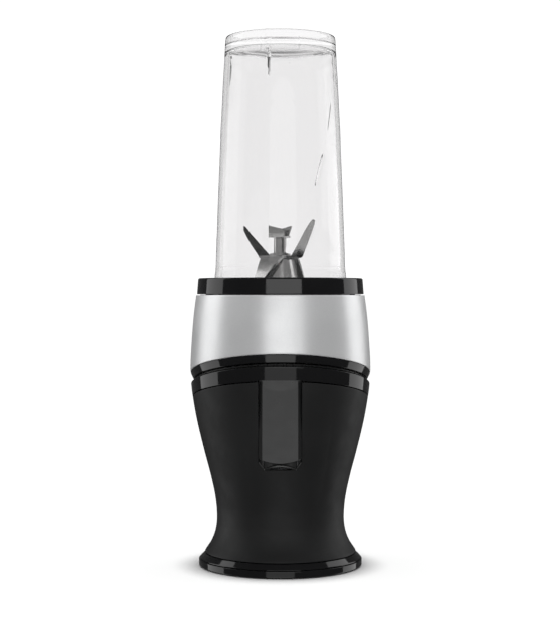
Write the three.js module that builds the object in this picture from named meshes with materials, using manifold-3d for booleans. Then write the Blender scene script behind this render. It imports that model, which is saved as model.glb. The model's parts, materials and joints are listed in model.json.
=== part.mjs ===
// A personal countertop blender: a waisted motor base with a silver collar, and an inverted clear cup
// that is screwed onto a blade unit and pressed down to run it.
// Millimetres, +Z up, the front towards -Y, the origin at the centre of the underside.
import * as THREE from "three";
import { mergeVertices } from "three/addons/utils/BufferGeometryUtils.js";
import Module from "manifold-3d";

const wasm = await Module();
wasm.setup();

// ---- driving dimensions ----
const GAP = 0.3; // left between pieces that touch
const ROUND = 28; // sides of the large turned pieces
const MIDDLE = 18; // sides of the middling ones
const SMALL = 12; // sides of the small ones

const HEIGHT = 328; // overall, to the rim of the cup's closed end
const COLLAR_TOP = 168.2; // top edge of the silver collar
const RIM_TOP = 178.4; // top of the gloss rim that the cup drops into
const HOUSING_BOTTOM = 8.7;
const WALL = 2.4; // moulded wall of the lower housing
const COLLAR_WALL = 2.0;

// Radius of the housing against height: flared foot, waist, shoulder, and the collar drawing in again.
const OUTLINE = [
  [0, 50.8], [8.6, 47.2], [15, 43.1], [22, 40.5], [30, 39.6], [42, 40.5], [56, 43.4], [72, 47.6],
  [90, 51.9], [104, 54.4], [113, 55.55], [124, 56.0], [140, 55.2], [154, 54.1], [168.2, 52.4], [180, 50.8],
];

// The split between collar and lower housing slopes: high at the front, low at the back.
const SPLIT_Z = 119.6; // height of the collar's lower edge on the axis
const SPLIT_SLOPE = 0.247;
const TRIM_HEIGHT = 4.6; // gloss ring under the collar
const VENT_HEIGHT = 2.7; // open groove below it
const SHOULDER_HEIGHT = 8.0; // gloss ring on top of the lower housing
const TRIM_LOW = SPLIT_Z - TRIM_HEIGHT;
const VENT_LOW = TRIM_LOW - VENT_HEIGHT;
const SHOULDER_LOW = VENT_LOW - SHOULDER_HEIGHT;
const HOUSING_TOP = SHOULDER_LOW - GAP;

const PANEL_HALF = 12.8; // half the front panel's width
const PANEL_LOW = 67.5;
const PANEL_HIGH = 117.5;

const FOOT_R = 50.7; // the lower foot ring
const COVER_LOW = 0.5; // underside of the bottom cover, which the rubber feet stand proud of
const COVER_HIGH = 4.6;
const SCREW_CIRCLE = 36;
const FOOT_CIRCLE = 38.5;

const WELL_R = 48; // inside of the well that takes the blade unit
const WELL_FLOOR = 140;
const RECESS_R = 18.5; // deeper middle of the well, around the drive coupling
const RECESS_FLOOR = 127.5;
const KEY_COUNT = 4; // keys on the blade unit, in grooves of the well
const KEY_WIDTH = 10;
const KEY_R = 48.4;

const PLUNGER_CIRCLE = 43;
const PLUNGER_ANGLES = [90, 210, 330];
const MOUNT_CIRCLE = 36;
const MOUNT_ANGLES = [30, 150, 270];

const SHAFT_R = 4;
const SHAFT_CLEAR = 4.35; // bore of whatever turns on a shaft, or sits on it
const STATOR_R = 31;
const STATOR_BORE = 18.6;
const STATOR_LOW = 66;
const STATOR_HIGH = 104;
const COIL_LOW = 59;
const COIL_HIGH = 111;
const BRUSH_Z = 57.1;

const UNIT_LOW = 150; // skirt of the blade unit, which the plungers hold up
const UNIT_FLOOR = 155.2;
const UNIT_TOP = 176;
const UNIT_R = 46.5;
const UNIT_BORE = 43.6;
const HUB_TOP = 190.5;

const CUP_MOUTH = 157.5;
const CUP_WALL = 2.4;
const THREAD_R = 41.2; // outside of the cup along its thread
const THREAD_PITCH = 5;
const THREAD_SWEEP = 300; // degrees that each thread runs round
const THREAD_BEAD = 1.4; // radius of the rounded thread

const BLADE_Z = 191; // underside of the lower blade's plate
const BLADE_THICK = 1.4;
const SPACER_TOP = 203.4;

// ---- materials ----
const matte = new THREE.MeshStandardMaterial({ color: 0x1b1c1c, roughness: 0.62 });
const gloss = new THREE.MeshStandardMaterial({ color: 0x0c0c0d, roughness: 0.12 });
const silver = new THREE.MeshStandardMaterial({ color: 0xb9bcbe, roughness: 0.34, metalness: 0.75 });
const clear = new THREE.MeshStandardMaterial({ color: 0xf4f5f5, roughness: 0, transparent: true, opacity: 0.3 });
const steel = new THREE.MeshStandardMaterial({ color: 0x9a9c9d, roughness: 0.28, metalness: 1 });
const iron = new THREE.MeshStandardMaterial({ color: 0x5e6063, roughness: 0.5, metalness: 0.9 });
const copper = new THREE.MeshStandardMaterial({ color: 0xb8703c, roughness: 0.4, metalness: 0.9 });
const bronze = new THREE.MeshStandardMaterial({ color: 0xb08a4c, roughness: 0.45, metalness: 0.85 });
const rubber = new THREE.MeshStandardMaterial({ color: 0x171717, roughness: 0.85 });
const silicone = new THREE.MeshStandardMaterial({ color: 0xc9ccce, roughness: 0.6 });
const nylon = new THREE.MeshStandardMaterial({ color: 0x2a2b2d, roughness: 0.55 });
const carbon = new THREE.MeshStandardMaterial({ color: 0x2b2b2c, roughness: 0.7 });

// ---- helpers ----
const radians = (degrees) => (degrees * Math.PI) / 180;

// Radius of the housing at a height, along a smooth curve through OUTLINE.
function outline(z) {
  const last = OUTLINE.length - 2;
  let i = OUTLINE.findIndex(([height]) => height > z) - 1;
  i = i < 0 ? (z < OUTLINE[0][0] ? 0 : last) : i;
  const slopeAt = (k) => {
    const a = OUTLINE[Math.max(k - 1, 0)];
    const b = OUTLINE[Math.min(k + 1, last + 1)];
    return (b[1] - a[1]) / (b[0] - a[0]);
  };
  const [z0, r0] = OUTLINE[i];
  const [z1, r1] = OUTLINE[i + 1];
  const span = z1 - z0;
  const t = (z - z0) / span;
  const blend = t * t * (3 - 2 * t);
  const bow = t * (1 - t) * span * (slopeAt(i) * (1 - t) - slopeAt(i + 1) * t);
  return r0 + (r1 - r0) * blend + bow;
}

// Turns a closed profile of [radius, height] about Z. A profile that touches the axis starts and ends there.
function turned(profile, sides = ROUND) {
  const points = profile.map(([r, z]) => new THREE.Vector2(r, z));
  const onAxis = profile[0][0] === 0;
  if (THREE.ShapeUtils.area(points) < 0) points.reverse();
  if (!onAxis) points.push(points[0].clone());
  return new THREE.LatheGeometry(points, sides).rotateX(Math.PI / 2);
}

const ring = (inner, outer, low, high, sides = MIDDLE) =>
  turned([[inner, low], [outer, low], [outer, high], [inner, high]], sides);

const disc = (radius, low, high, sides = SMALL) =>
  turned([[0, low], [radius, low], [radius, high], [0, high]], sides);

const block = (x, y, z, wide, deep, tall) => new THREE.BoxGeometry(wide, deep, tall).translate(x, y, z);

// Moves a geometry out from the axis, to radius r at an angle in degrees from +X.
const around = (geometry, r, angle) => geometry.clone().translate(r, 0, 0).rotateZ(radians(angle));

// Leans a level ring or shell to follow the sloping split, and keeps its wall on the housing's outline.
function lean(geometry, share = () => 1) {
  const place = geometry.attributes.position;
  for (let i = 0; i < place.count; i++) {
    const [x, y, z] = [place.getX(i), place.getY(i), place.getZ(i)];
    const r = Math.hypot(x, y);
    const level = z - y * SPLIT_SLOPE * share(z);
    const grow = (r + outline(level) - outline(z)) / r;
    place.setXYZ(i, x * grow, y * grow, level);
  }
  return geometry;
}

function solid(geometry) {
  const bare = geometry.clone();
  bare.deleteAttribute("normal");
  bare.deleteAttribute("uv");
  const merged = mergeVertices(bare, 1e-4);
  return new wasm.Manifold(
    new wasm.Mesh({
      numProp: 3,
      vertProperties: merged.attributes.position.array,
      triVerts: new Uint32Array(merged.index.array),
    }),
  );
}

// Joins the first geometry with those in added, and cuts those in taken out of the result.
function carved(first, added = [], taken = []) {
  let body = solid(first);
  for (const geometry of added) body = body.add(solid(geometry));
  for (const geometry of taken) body = body.subtract(solid(geometry));
  const mesh = body.getMesh();
  const made = new THREE.BufferGeometry();
  made.setAttribute("position", new THREE.BufferAttribute(mesh.vertProperties, 3));
  made.setIndex(new THREE.BufferAttribute(mesh.triVerts, 1));
  return made;
}

class Helix extends THREE.Curve {
  constructor(radius, low, pitch, sweep) {
    super();
    Object.assign(this, { radius, low, pitch, sweep });
  }
  getPoint(t) {
    const angle = radians(this.sweep) * t;
    const z = this.low + (this.pitch * this.sweep * t) / 360;
    return new THREE.Vector3(this.radius * Math.cos(angle), this.radius * Math.sin(angle), z);
  }
}

function coiled(helix, wireR, steps, sides) {
  const section = new THREE.Shape();
  section.absarc(0, 0, wireR, 0, 2 * Math.PI);
  return new THREE.ExtrudeGeometry(section, { steps, extrudePath: helix, curveSegments: sides });
}

// A sector of a ring, centred on +X.
function sector(inner, outer, from, to, low, high) {
  const shape = new THREE.Shape();
  shape.absarc(0, 0, outer, radians(from), radians(to), false);
  shape.absarc(0, 0, inner, radians(to), radians(from), true);
  const options = { depth: high - low, bevelEnabled: false, curveSegments: 4 };
  return new THREE.ExtrudeGeometry(shape, options).translate(0, 0, low);
}

// A prism of a closed outline of [x, y] from low to high.
function prism(points, low, high) {
  const shape = new THREE.Shape(points.map(([x, y]) => new THREE.Vector2(x, y)));
  return new THREE.ExtrudeGeometry(shape, { depth: high - low, bevelEnabled: false }).translate(0, 0, low);
}

// A plate that is half wide to either side of the middle, from its side outline of [y, z].
const slab = (points, half) => prism(points, -half, half).rotateX(Math.PI / 2).rotateZ(Math.PI / 2);

// ---- the assembly ----
const blender = new THREE.Group();
function add(name, geometry, material) {
  const mesh = new THREE.Mesh(geometry, material);
  mesh.name = name;
  blender.add(mesh);
  return mesh;
}

// ---- the casing ----
function casing() {
  const windowWide = 2 * (PANEL_HALF + GAP);
  const windowLow = PANEL_LOW - GAP;
  const windowHigh = PANEL_HIGH + GAP;
  const panelWindow = block(0, -49, (windowLow + windowHigh) / 2, windowWide, 22, windowHigh - windowLow);

  const levels = [HOUSING_BOTTOM, 15, 22, 32, 48, 68, 88, HOUSING_TOP];
  const outside = levels.map((z) => [outline(z), z]);
  const inside = levels.map((z) => [outline(z) - WALL, z]).reverse();
  const share = (z) => (z - HOUSING_BOTTOM) / (HOUSING_TOP - HOUSING_BOTTOM);
  const bosses = [45, 135, 225, 315].map((a) => around(disc(3.4, 5.2, 24), SCREW_CIRCLE, a));
  const bores = [45, 135, 225, 315].map((a) => around(disc(1.6, 5, 18, 8), SCREW_CIRCLE, a));
  const cordHole = disc(4.5, -50, -30).rotateX(Math.PI / 2).translate(0, 0, 28);
  const shell = lean(turned([...outside, ...inside]), share);
  add("lower_housing", carved(shell, bosses, [...bores, cordHole, panelWindow]), matte);

  // Its face runs straighter than the housing: sunk at the top, proud at the bottom.
  const panelSide = [
    [-55.3, PANEL_HIGH], [-53.6, 114.5], [-53.0, 111], [-48.7, 69], [-48.2, PANEL_LOW],
    [-43.9, PANEL_LOW], [-46.1, 72], [-50.6, 111], [-50.8, PANEL_HIGH],
  ];
  add("front_panel", slab(panelSide, PANEL_HALF), matte);

  const r = outline(SPLIT_Z);
  const shoulder = [
    [r - 0.5, VENT_LOW], [r, VENT_LOW - 0.6], [r, SHOULDER_LOW], [r - WALL - 0.4, SHOULDER_LOW],
    [r - WALL - 0.4, SHOULDER_LOW - 3.4], [r - 5, SHOULDER_LOW - 3.4], [r - 5, VENT_LOW],
  ];
  const shoulderRing = lean(turned(shoulder.map(([radius, z]) => [radius + outline(z) - r, z])));
  const panelTop = block(0, -49, windowHigh - 8, windowWide, 22, 16);
  add("shoulder_ring", carved(shoulderRing, [], [panelTop]), gloss);

  const vent = ring(r - 5, r - 3.1, VENT_LOW + GAP, TRIM_LOW - GAP, ROUND);
  add("vent_ring", lean(vent), nylon);

  const trim = [
    [r, SPLIT_Z - GAP], [r - 2.1, TRIM_LOW], [r - 5, TRIM_LOW], [r - 5, SPLIT_Z + 3.4],
    [r - COLLAR_WALL - 0.4, SPLIT_Z + 3.4], [r - COLLAR_WALL - 0.4, SPLIT_Z - GAP],
  ];
  add("collar_trim_ring", lean(turned(trim)), gloss);

  const collarLevels = [SPLIT_Z, 136, 152, COLLAR_TOP];
  const collarOutside = collarLevels.map((z) => [outline(z), z]);
  const collarInside = collarLevels.map((z) => [outline(z) - COLLAR_WALL, z]).reverse();
  const collarShare = (z) => (COLLAR_TOP - z) / (COLLAR_TOP - SPLIT_Z);
  add("silver_collar", lean(turned([...collarOutside, ...collarInside]), collarShare), silver);

  const rim = [
    [47.6, COLLAR_TOP + GAP], [51.9, COLLAR_TOP + GAP], [51.1, 177], [50.2, RIM_TOP], [48.6, RIM_TOP],
    [47.6, RIM_TOP - 1.2],
  ];
  add("top_rim", carved(turned(rim), [], keys(KEY_R + 0.6, KEY_WIDTH + 1.6, 150, 190)), gloss);
}

// Blocks from inside the blade unit's wall out to a radius, one for each key or its groove.
function keys(outer, width, low, high) {
  const inner = 45;
  const made = [];
  for (let k = 0; k < KEY_COUNT; k++) {
    const key = block(0, 0, (low + high) / 2, outer - inner, width, high - low);
    made.push(around(key, (inner + outer) / 2, 45 + (k * 360) / KEY_COUNT));
  }
  return made;
}

function base() {
  const cover = [
    [0, COVER_LOW], [50.2, COVER_LOW], [FOOT_R, COVER_LOW + 0.6], [FOOT_R, COVER_HIGH], [44, COVER_HIGH],
    [44, 3], [0, 3],
  ];
  const feet = [0, 90, 180, 270];
  const screws = [45, 135, 225, 315];
  const slots = Array.from({ length: 6 }, (_, k) => around(block(0, 0, 2, 14, 2.6, 6), 20, k * 60));
  const cuts = [
    ...feet.map((a) => around(disc(7, 0, 2), FOOT_CIRCLE, a)),
    ...screws.map((a) => around(disc(1.7, 0, 4, 8), SCREW_CIRCLE, a)),
    ...screws.map((a) => around(disc(3.2, 0, 2.2, 12), SCREW_CIRCLE, a)),
    ...slots,
  ];
  add("bottom_cover", carved(turned(cover), [], cuts), gloss);
  const step = [[44, COVER_HIGH + GAP], [50.4, COVER_HIGH + GAP], [47.0, 8.4], [44, 8.4]];
  add("foot_trim_ring", turned(step), gloss);
  feet.forEach((a, i) => add("rubber_foot_" + (i + 1), around(disc(6.6, 0, 1.7), FOOT_CIRCLE, a), rubber));
  const screw = [[0, 1], [2.8, 1], [2.8, 1.9], [1.2, 1.9], [1.2, 14], [0, 15]];
  screws.forEach((a, i) => {
    add("base_screw_" + (i + 1), around(turned(screw, 10), SCREW_CIRCLE, a), steel);
  });
  const gland = turned([[3, 36.4], [4.2, 36.4], [4.2, 40.9], [5.5, 40.9], [5, 42.6], [3, 42.6]], SMALL);
  add("cord_gland", gland.rotateX(-Math.PI / 2).translate(0, 0, 28), rubber);
}

// ---- the well and the press-to-run interlock ----
function well() {
  const floorLow = WELL_FLOOR - 2.2;
  const profile = [
    [6, RECESS_FLOOR - 2], [RECESS_R + 2, RECESS_FLOOR - 2], [RECESS_R + 2, floorLow], [WELL_R + 2, floorLow],
    [WELL_R + 2, COLLAR_TOP], [WELL_R, COLLAR_TOP], [WELL_R, WELL_FLOOR], [RECESS_R, WELL_FLOOR],
    [RECESS_R, RECESS_FLOOR], [6, RECESS_FLOOR],
  ];
  const pinHoles = PLUNGER_ANGLES.map((a) => around(disc(3.4, 130, 145), PLUNGER_CIRCLE, a));
  const grooves = keys(KEY_R + 0.6, KEY_WIDTH + 1.6, 153, 190);
  add("drive_well", carved(turned(profile), [], [...pinHoles, ...grooves]), nylon);
  add("well_seal", ring(SHAFT_CLEAR, 9, RECESS_FLOOR + GAP, RECESS_FLOOR + 1.7, SMALL), silicone);

  const plateLow = floorLow - 2.6;
  const plate = ring(24, 49, plateLow, floorLow - GAP);
  const tubes = PLUNGER_ANGLES.map((a) => around(disc(6.4, 118, floorLow - GAP), PLUNGER_CIRCLE, a));
  const carrierCuts = [
    ...PLUNGER_ANGLES.map((a) => around(disc(5, 120, 140), PLUNGER_CIRCLE, a)),
    ...PLUNGER_ANGLES.map((a) => around(disc(2.1, 110, 140, 12), PLUNGER_CIRCLE, a)),
    ...MOUNT_ANGLES.map((a) => around(disc(6.5, 130, 140), MOUNT_CIRCLE, a)),
  ];
  add("interlock_carrier", carved(plate, tubes, carrierCuts), nylon);

  const flangeHigh = floorLow - 0.4;
  const flangeLow = flangeHigh - 2.4;
  const plunger = [
    [0, 114.5], [1.7, 114.5], [1.7, flangeLow], [4.6, flangeLow], [4.6, flangeHigh], [3, flangeHigh],
    [3, UNIT_LOW - 1], [2.3, UNIT_LOW - GAP], [0, UNIT_LOW - GAP],
  ];
  const springLow = 120.8;
  const wire = 0.45;
  const turns = 4.5;
  const pitch = (flangeLow - GAP - wire - springLow) / turns;
  const spring = coiled(new Helix(3.35, springLow, pitch, turns * 360), wire, 32, 2);
  PLUNGER_ANGLES.forEach((a, i) => {
    add("interlock_plunger_" + (i + 1), around(turned(plunger, 14), PLUNGER_CIRCLE, a), nylon);
    add("interlock_spring_" + (i + 1), around(spring, PLUNGER_CIRCLE, a), steel);
  });

  const body = block(0, PLUNGER_CIRCLE, 110.4, 20, 9, 14.4);
  const tags = [-6, 6].map((x) => block(x, PLUNGER_CIRCLE, 101.5, 4.8, 0.8, 6));
  const buttonBore = disc(2.3, 109, 120, 12).translate(0, PLUNGER_CIRCLE, 0);
  add("interlock_switch", carved(body, tags, [buttonBore]), nylon);
}

// ---- the motor ----
function motor() {
  const seat = 9.5; // bore that a bearing sits in
  const upper = turned([
    [seat, 109.3], [12, 109.3], [12, 115], [29.5, 115], [29.5, STATOR_HIGH + 0.4], [32, STATOR_HIGH + 0.4],
    [32, 118.5], [seat, 118.5],
  ], MIDDLE);
  const ears = MOUNT_ANGLES.map((a) => around(block(0, 0, 117.25, 12, 11, 3.5), 35.5, a));
  add("motor_bracket_upper", carved(upper, ears), iron);
  MOUNT_ANGLES.forEach((a, i) => {
    const high = WELL_FLOOR - 2.5;
    const mount = [[0, 119.3], [5, 119.3], [5, 124], [4, 127], [4, 130], [5, 133], [5, high], [0, high]];
    add("motor_mount_" + (i + 1), around(turned(mount, 12), MOUNT_CIRCLE, a), rubber);
  });

  const lower = turned([
    [seat, 40], [12.5, 40], [12.5, 49], [32, 49], [32, STATOR_LOW - 0.4], [29.5, STATOR_LOW - 0.4],
    [29.5, 52], [seat, 52],
  ], MIDDLE);
  const brushGap = block(0, 0, BRUSH_Z, 10, 80, 10);
  add("motor_bracket_lower", carved(lower, [], [brushGap]), iron);

  const slots = [];
  for (const half of [0, 180]) {
    for (const [from, to] of [[39.2, 58.8], [-58.8, -39.2]]) {
      slots.push(sector(20.1, 28.4, from, to, 60, 110).rotateZ(radians(half)));
    }
  }
  const core = ring(STATOR_BORE, STATOR_R, STATOR_LOW, STATOR_HIGH);
  add("stator_core", carved(core, [], slots), iron);
  const coil = carved(
    sector(20.5, 28, -58, 58, COIL_LOW, COIL_HIGH), [], [sector(19, 30, -40, 40, 65, 105)],
  );
  add("field_coil_right", coil, copper);
  add("field_coil_left", coil.clone().rotateZ(Math.PI), copper);

  for (const [side, turn] of [["front", Math.PI], ["back", 0]]) {
    const tube = block(0, 23.25, BRUSH_Z, 9.4, 21.5, 9.4);
    const bore = block(0, 20, BRUSH_Z, 6.6, 20, 6.6);
    add("brush_holder_" + side, carved(tube, [], [bore]).rotateZ(turn), bronze);
    add("carbon_brush_" + side, block(0, 17.4, BRUSH_Z, 6, 13, 6).rotateZ(turn), carbon);
  }
  add("bearing_upper", ring(SHAFT_CLEAR, 9.2, 110, 116, SMALL), steel);
  add("bearing_lower", ring(SHAFT_CLEAR, 9.2, 41, 47, SMALL), steel);
}

function rotor() {
  add("motor_shaft", disc(SHAFT_R, 22, 138), steel);
  const slotCount = 6;
  const coreSlots = [];
  const bars = [];
  for (let k = 0; k < slotCount; k++) {
    const angle = (k * 360) / slotCount;
    coreSlots.push(around(block(0, 0, 85, 8.6, 4.6, 60), 14.2, angle));
    bars.push(around(block(0, 0, 85, 6, 4, 40), 13.2, angle));
  }
  add("armature_core", carved(ring(SHAFT_CLEAR, 17.6, 67, 103), [], coreSlots), iron);
  const lowEnd = turned([[5, 62.8], [12, 62.8], [16.2, 65], [16.2, 66.7], [5, 66.7]], SMALL);
  const highEnd = turned([[5, 103.3], [16.2, 103.3], [16.2, 105.5], [12, 108.9], [5, 108.9]], SMALL);
  add("armature_winding", carved(lowEnd, [highEnd, ...bars]), copper);
  add("commutator", ring(SHAFT_CLEAR, 10.5, 52.3, 62.5, SMALL), copper);

  const fanDisc = turned([
    [SHAFT_CLEAR, 27], [7, 27], [8, 36], [31, 36], [31, 37.4], [8, 37.4], [7, 39], [SHAFT_CLEAR, 39],
  ], MIDDLE);
  const vanes = Array.from({ length: 9 }, (_, k) => {
    return around(block(0, 0, 32, 20, 1.4, 8.6).rotateZ(0.5), 19.5, k * 40);
  });
  add("cooling_fan", carved(fanDisc, vanes), nylon);

  const hub = turned([[0, 129.5], [15, 129.5], [15, 131], [9, 131.8], [0, 131.8]], MIDDLE);
  const bore = disc(SHAFT_CLEAR, 120, 138.4);
  add("drive_coupling", carved(hub, [prism(splines(0), 131, 140)], [bore]), nylon);
}

// Outline of the drive's eight splines, larger all round by grow for the socket that slides over them.
function splines(grow) {
  const count = 8;
  const corners = [[6.4, -10.5], [8.2, -6.5], [8.2, 6.5], [6.4, 10.5]];
  const points = [];
  for (let k = 0; k < count; k++) {
    for (const [r, degrees] of corners) {
      const wider = Math.sign(degrees) * (grow / r);
      const angle = radians(degrees + (k * 360) / count) + wider;
      points.push([(r + grow) * Math.cos(angle), (r + grow) * Math.sin(angle)]);
    }
  }
  return points;
}

// ---- the blade unit that screws onto the cup ----
function bladeUnit() {
  const shell = [
    [40, UNIT_LOW], [UNIT_R, UNIT_LOW], [UNIT_R, UNIT_TOP - 1], [UNIT_R - 1, UNIT_TOP], [UNIT_BORE, UNIT_TOP],
    [UNIT_BORE, UNIT_FLOOR], [9.7, UNIT_FLOOR], [9.7, 152.5], [40, 152.5],
  ];
  const thread = coiled(new Helix(UNIT_BORE - 0.1, 163.5, THREAD_PITCH, THREAD_SWEEP), THREAD_BEAD, 22, 2);
  const lugs = keys(KEY_R, KEY_WIDTH, 158, 170);
  const inside = disc(UNIT_BORE - 0.2, UNIT_FLOOR + 1, UNIT_TOP + 5, ROUND);
  const trimmedLugs = lugs.map((lug) => carved(lug, [], [inside]));
  add("blade_base", carved(turned(shell), [thread, ...trimmedLugs]), gloss);

  const hub = [
    [7.3, UNIT_LOW], [9.3, UNIT_LOW], [9.3, 186], [10.8, 186], [20.4, UNIT_FLOOR + GAP],
    [22, UNIT_FLOOR + GAP], [15, 178.4], [11.2, HUB_TOP - 0.6], [10.6, HUB_TOP], [7.3, HUB_TOP],
  ];
  add("bearing_hub", turned(hub, MIDDLE), steel);
  add("shaft_bush_lower", ring(SHAFT_CLEAR, 7, 151, 163, SMALL), bronze);
  add("shaft_bush_upper", ring(SHAFT_CLEAR, 7, 170, 184, SMALL), bronze);
  add("shaft_seal", ring(SHAFT_CLEAR, 7, 184.4, HUB_TOP - 0.4, SMALL), silicone);
  add("cup_gasket", ring(38.8, 43.2, UNIT_FLOOR + GAP, CUP_MOUTH - GAP, ROUND), silicone);
}

// ---- the cup ----
function cup() {
  const outside = [
    [THREAD_R, CUP_MOUTH], [THREAD_R, 172], [40.9, 181], [40.4, 184], [39.0, 225], [37.1, 274],
    [34.6, 320], [34.1, 325.2], [32.6, 327.5], [31.4, HEIGHT],
  ];
  const recess = [[30, HEIGHT - 0.8], [29.2, 323.4], [28, 322.5], [0, 322.5]];
  const inside = [[0, 319.4], [27, 319.4], [30.4, 318], [32.1, 314]];
  const bore = [[34.7, 274], [36.6, 225], [38.0, 184], [38.8, 172], [38.8, CUP_MOUTH]];
  const shell = turned([...inside, ...bore, ...outside, ...recess]);
  const ribs = [258, 78, 168, 348].map((a) => around(block(0, 0, 307, 3, 2, 25), 31.4, a));
  const thread = coiled(new Helix(THREAD_R + 0.3, 161, THREAD_PITCH, THREAD_SWEEP), THREAD_BEAD, 22, 2);
  add("cup", carved(shell, [...ribs, thread]), clear);
}

// ---- the blades ----
// One arm of a stamped blade: an outline of [across, along] from its bend line, lifted by slope degrees.
function arm(points, reach, slope, heading, plateZ) {
  const flat = prism(points, 0, BLADE_THICK).rotateZ(-Math.PI / 2);
  flat.rotateY(-radians(slope)).translate(reach, 0, plateZ);
  return flat.rotateZ(radians(heading));
}

function blades() {
  const shaft = [
    [0, 144.8], [SHAFT_R, 144.8], [SHAFT_R, BLADE_Z - GAP], [2.6, BLADE_Z - GAP], [2.6, 205.4], [3.6, 205.4],
    [3.2, 206.8], [0, 207.2],
  ];
  add("blade_shaft", turned(shaft, SMALL), steel);

  const rising = [[-6.3, 0], [6.3, 0], [-0.5, 24.8], [-1.4, 24.8], [-4.6, 21.4], [-6.1, 15.5]];
  const falling = [[-9.6, 0], [5.7, 0], [6.9, 12.6], [7.6, 20], [6.4, 21.6], [3.9, 20]];
  const root = (heading, from, to, wide) => {
    const tongue = block((from + to) / 2, 0, BLADE_Z + BLADE_THICK / 2, to - from, wide, BLADE_THICK);
    return tongue.rotateZ(radians(heading));
  };
  const arms = [
    root(325, 2, 13.2, 12.6), arm(rising, 12.6, 60, 325, BLADE_Z), root(145, 2, 13.2, 12.6),
    arm(rising, 12.6, 50, 145, BLADE_Z), root(240, 2, 13.4, 11.4), arm(falling, 13.2, -70, 240, BLADE_Z),
    root(60, 2, 13.4, 11.4), arm(falling, 13.2, -70, 60, BLADE_Z),
  ];
  const plate = disc(9.5, BLADE_Z, BLADE_Z + BLADE_THICK, MIDDLE);
  add("lower_blade", carved(plate, arms, [disc(2.9, 180, 200)]), steel);

  const spacer = [
    [2.9, BLADE_Z + BLADE_THICK + GAP], [6.3, BLADE_Z + BLADE_THICK + GAP], [6.3, 194], [4, 194.4],
    [4, SPACER_TOP], [2.9, SPACER_TOP],
  ];
  add("blade_spacer", turned(spacer, SMALL), steel);

  const fin = [[-5, 0], [5, 0], [5, 7.4], [-5, 5.2]];
  const strip = block(0, 0, SPACER_TOP + GAP + 0.6, 11.6, 9, 1.2).rotateZ(radians(245));
  const fins = [245, 65].map((heading) => {
    const flat = prism(fin, 0, 1.2).rotateZ(-Math.PI / 2).rotateY(-radians(82));
    return flat.translate(6.2, 0, SPACER_TOP + GAP).rotateZ(radians(heading));
  });
  add("upper_blade", carved(strip, fins, [disc(2.9, 195, 215)]), steel);

  const body = turned([[0, 136.5], [12.4, 136.5], [13, 138], [13, 147], [11, 149], [0, 149]], MIDDLE);
  const socket = prism(splines(0.45), 130, 144.5);
  add("driven_coupling", carved(body, [], [socket, disc(SHAFT_CLEAR, 140, 155)]), nylon);
}

casing();
base();
well();
motor();
rotor();
bladeUnit();
cup();
blades();

export default blender;
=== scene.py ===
"""The looks of a personal countertop blender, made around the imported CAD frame.

Shapes are worked out in millimetres in the frame's own axes and turned into metres as meshes are made.
"""
import json
import math

import bmesh
import bpy
import numpy as np
from mathutils import Matrix, Vector


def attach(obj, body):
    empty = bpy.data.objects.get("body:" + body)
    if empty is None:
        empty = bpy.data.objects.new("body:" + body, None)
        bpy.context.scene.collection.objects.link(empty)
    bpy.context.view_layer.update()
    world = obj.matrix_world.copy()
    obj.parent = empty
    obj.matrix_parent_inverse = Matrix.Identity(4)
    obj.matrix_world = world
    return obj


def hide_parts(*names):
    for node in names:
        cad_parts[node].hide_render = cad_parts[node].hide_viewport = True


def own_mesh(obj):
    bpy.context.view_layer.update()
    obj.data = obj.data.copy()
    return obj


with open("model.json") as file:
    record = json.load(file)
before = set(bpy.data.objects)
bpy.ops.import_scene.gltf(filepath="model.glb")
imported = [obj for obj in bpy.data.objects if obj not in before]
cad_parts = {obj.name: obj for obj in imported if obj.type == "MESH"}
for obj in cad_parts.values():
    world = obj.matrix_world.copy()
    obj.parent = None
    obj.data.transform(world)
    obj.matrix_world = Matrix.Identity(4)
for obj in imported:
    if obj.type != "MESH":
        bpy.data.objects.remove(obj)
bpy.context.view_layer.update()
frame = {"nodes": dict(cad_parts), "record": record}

MM = 0.001
RECORD = frame["record"]
BODY_OF = {node: body for body, nodes in RECORD["behaviour"]["bodies"].items() for node in nodes}
SLOT_OF = {part["node"]: part["material_slot"] for part in RECORD["subparts"]}

# ---- driving dimensions, in millimetres ----
# Radius of the housing against height: flared foot, waist, shoulder, and the collar drawing in again.
OUTLINE = np.array([
    [0, 50.8], [8.6, 47.2], [15, 43.1], [22, 40.5], [30, 39.6], [42, 40.5], [56, 43.4], [72, 47.6],
    [90, 51.9], [104, 54.4], [113, 55.55], [124, 56.0], [140, 55.2], [154, 54.1], [168.2, 52.4], [180, 50.8],
])
HEIGHT = 328
COLLAR_TOP = 168.2
RIM_TOP = 178.4
HOUSING_BOTTOM = 8.7
WALL = 2.4

SPLIT_Z = 119.6
SPLIT_SLOPE = 0.247
TRIM_LOW = SPLIT_Z - 4.6
VENT_LOW = TRIM_LOW - 2.7
SHOULDER_LOW = VENT_LOW - 8.0
HOUSING_TOP = SHOULDER_LOW - 0.3

PANEL_HALF = 12.6
PANEL_HIGH = 118.0

WELL_R = 48
WELL_FLOOR = 140
RECESS_R = 18.5
RECESS_FLOOR = 127.5
KEY_ANGLES = [45, 135, 225, 315]
KEY_WIDTH = 10
KEY_R = 48.4
PLUNGER_ANGLES = [90, 210, 330]
PLUNGER_CIRCLE = 43
FLANGE_LOW = 135.0
SPRING_LOW = 120.8

UNIT_LOW = 150
UNIT_FLOOR = 155.2
UNIT_TOP = 176
UNIT_R = 46.5
UNIT_BORE = 43.6
HUB_TOP = 190.5

CUP_MOUTH = 157.5
THREAD_R = 41.2
THREAD_PITCH = 5
THREAD_SWEEP = 300
THREAD_BEAD = 1.4

BLADE_Z = 191
BLADE_THICK = 1.4
SPACER_TOP = 203.4

# Where the camera stands, from the object's own perspective.
CAMERA_DISTANCE = 0.925
CAMERA_HEIGHT = 0.1674
CAMERA_PITCH = 0.54
LENS = 86.17

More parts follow.
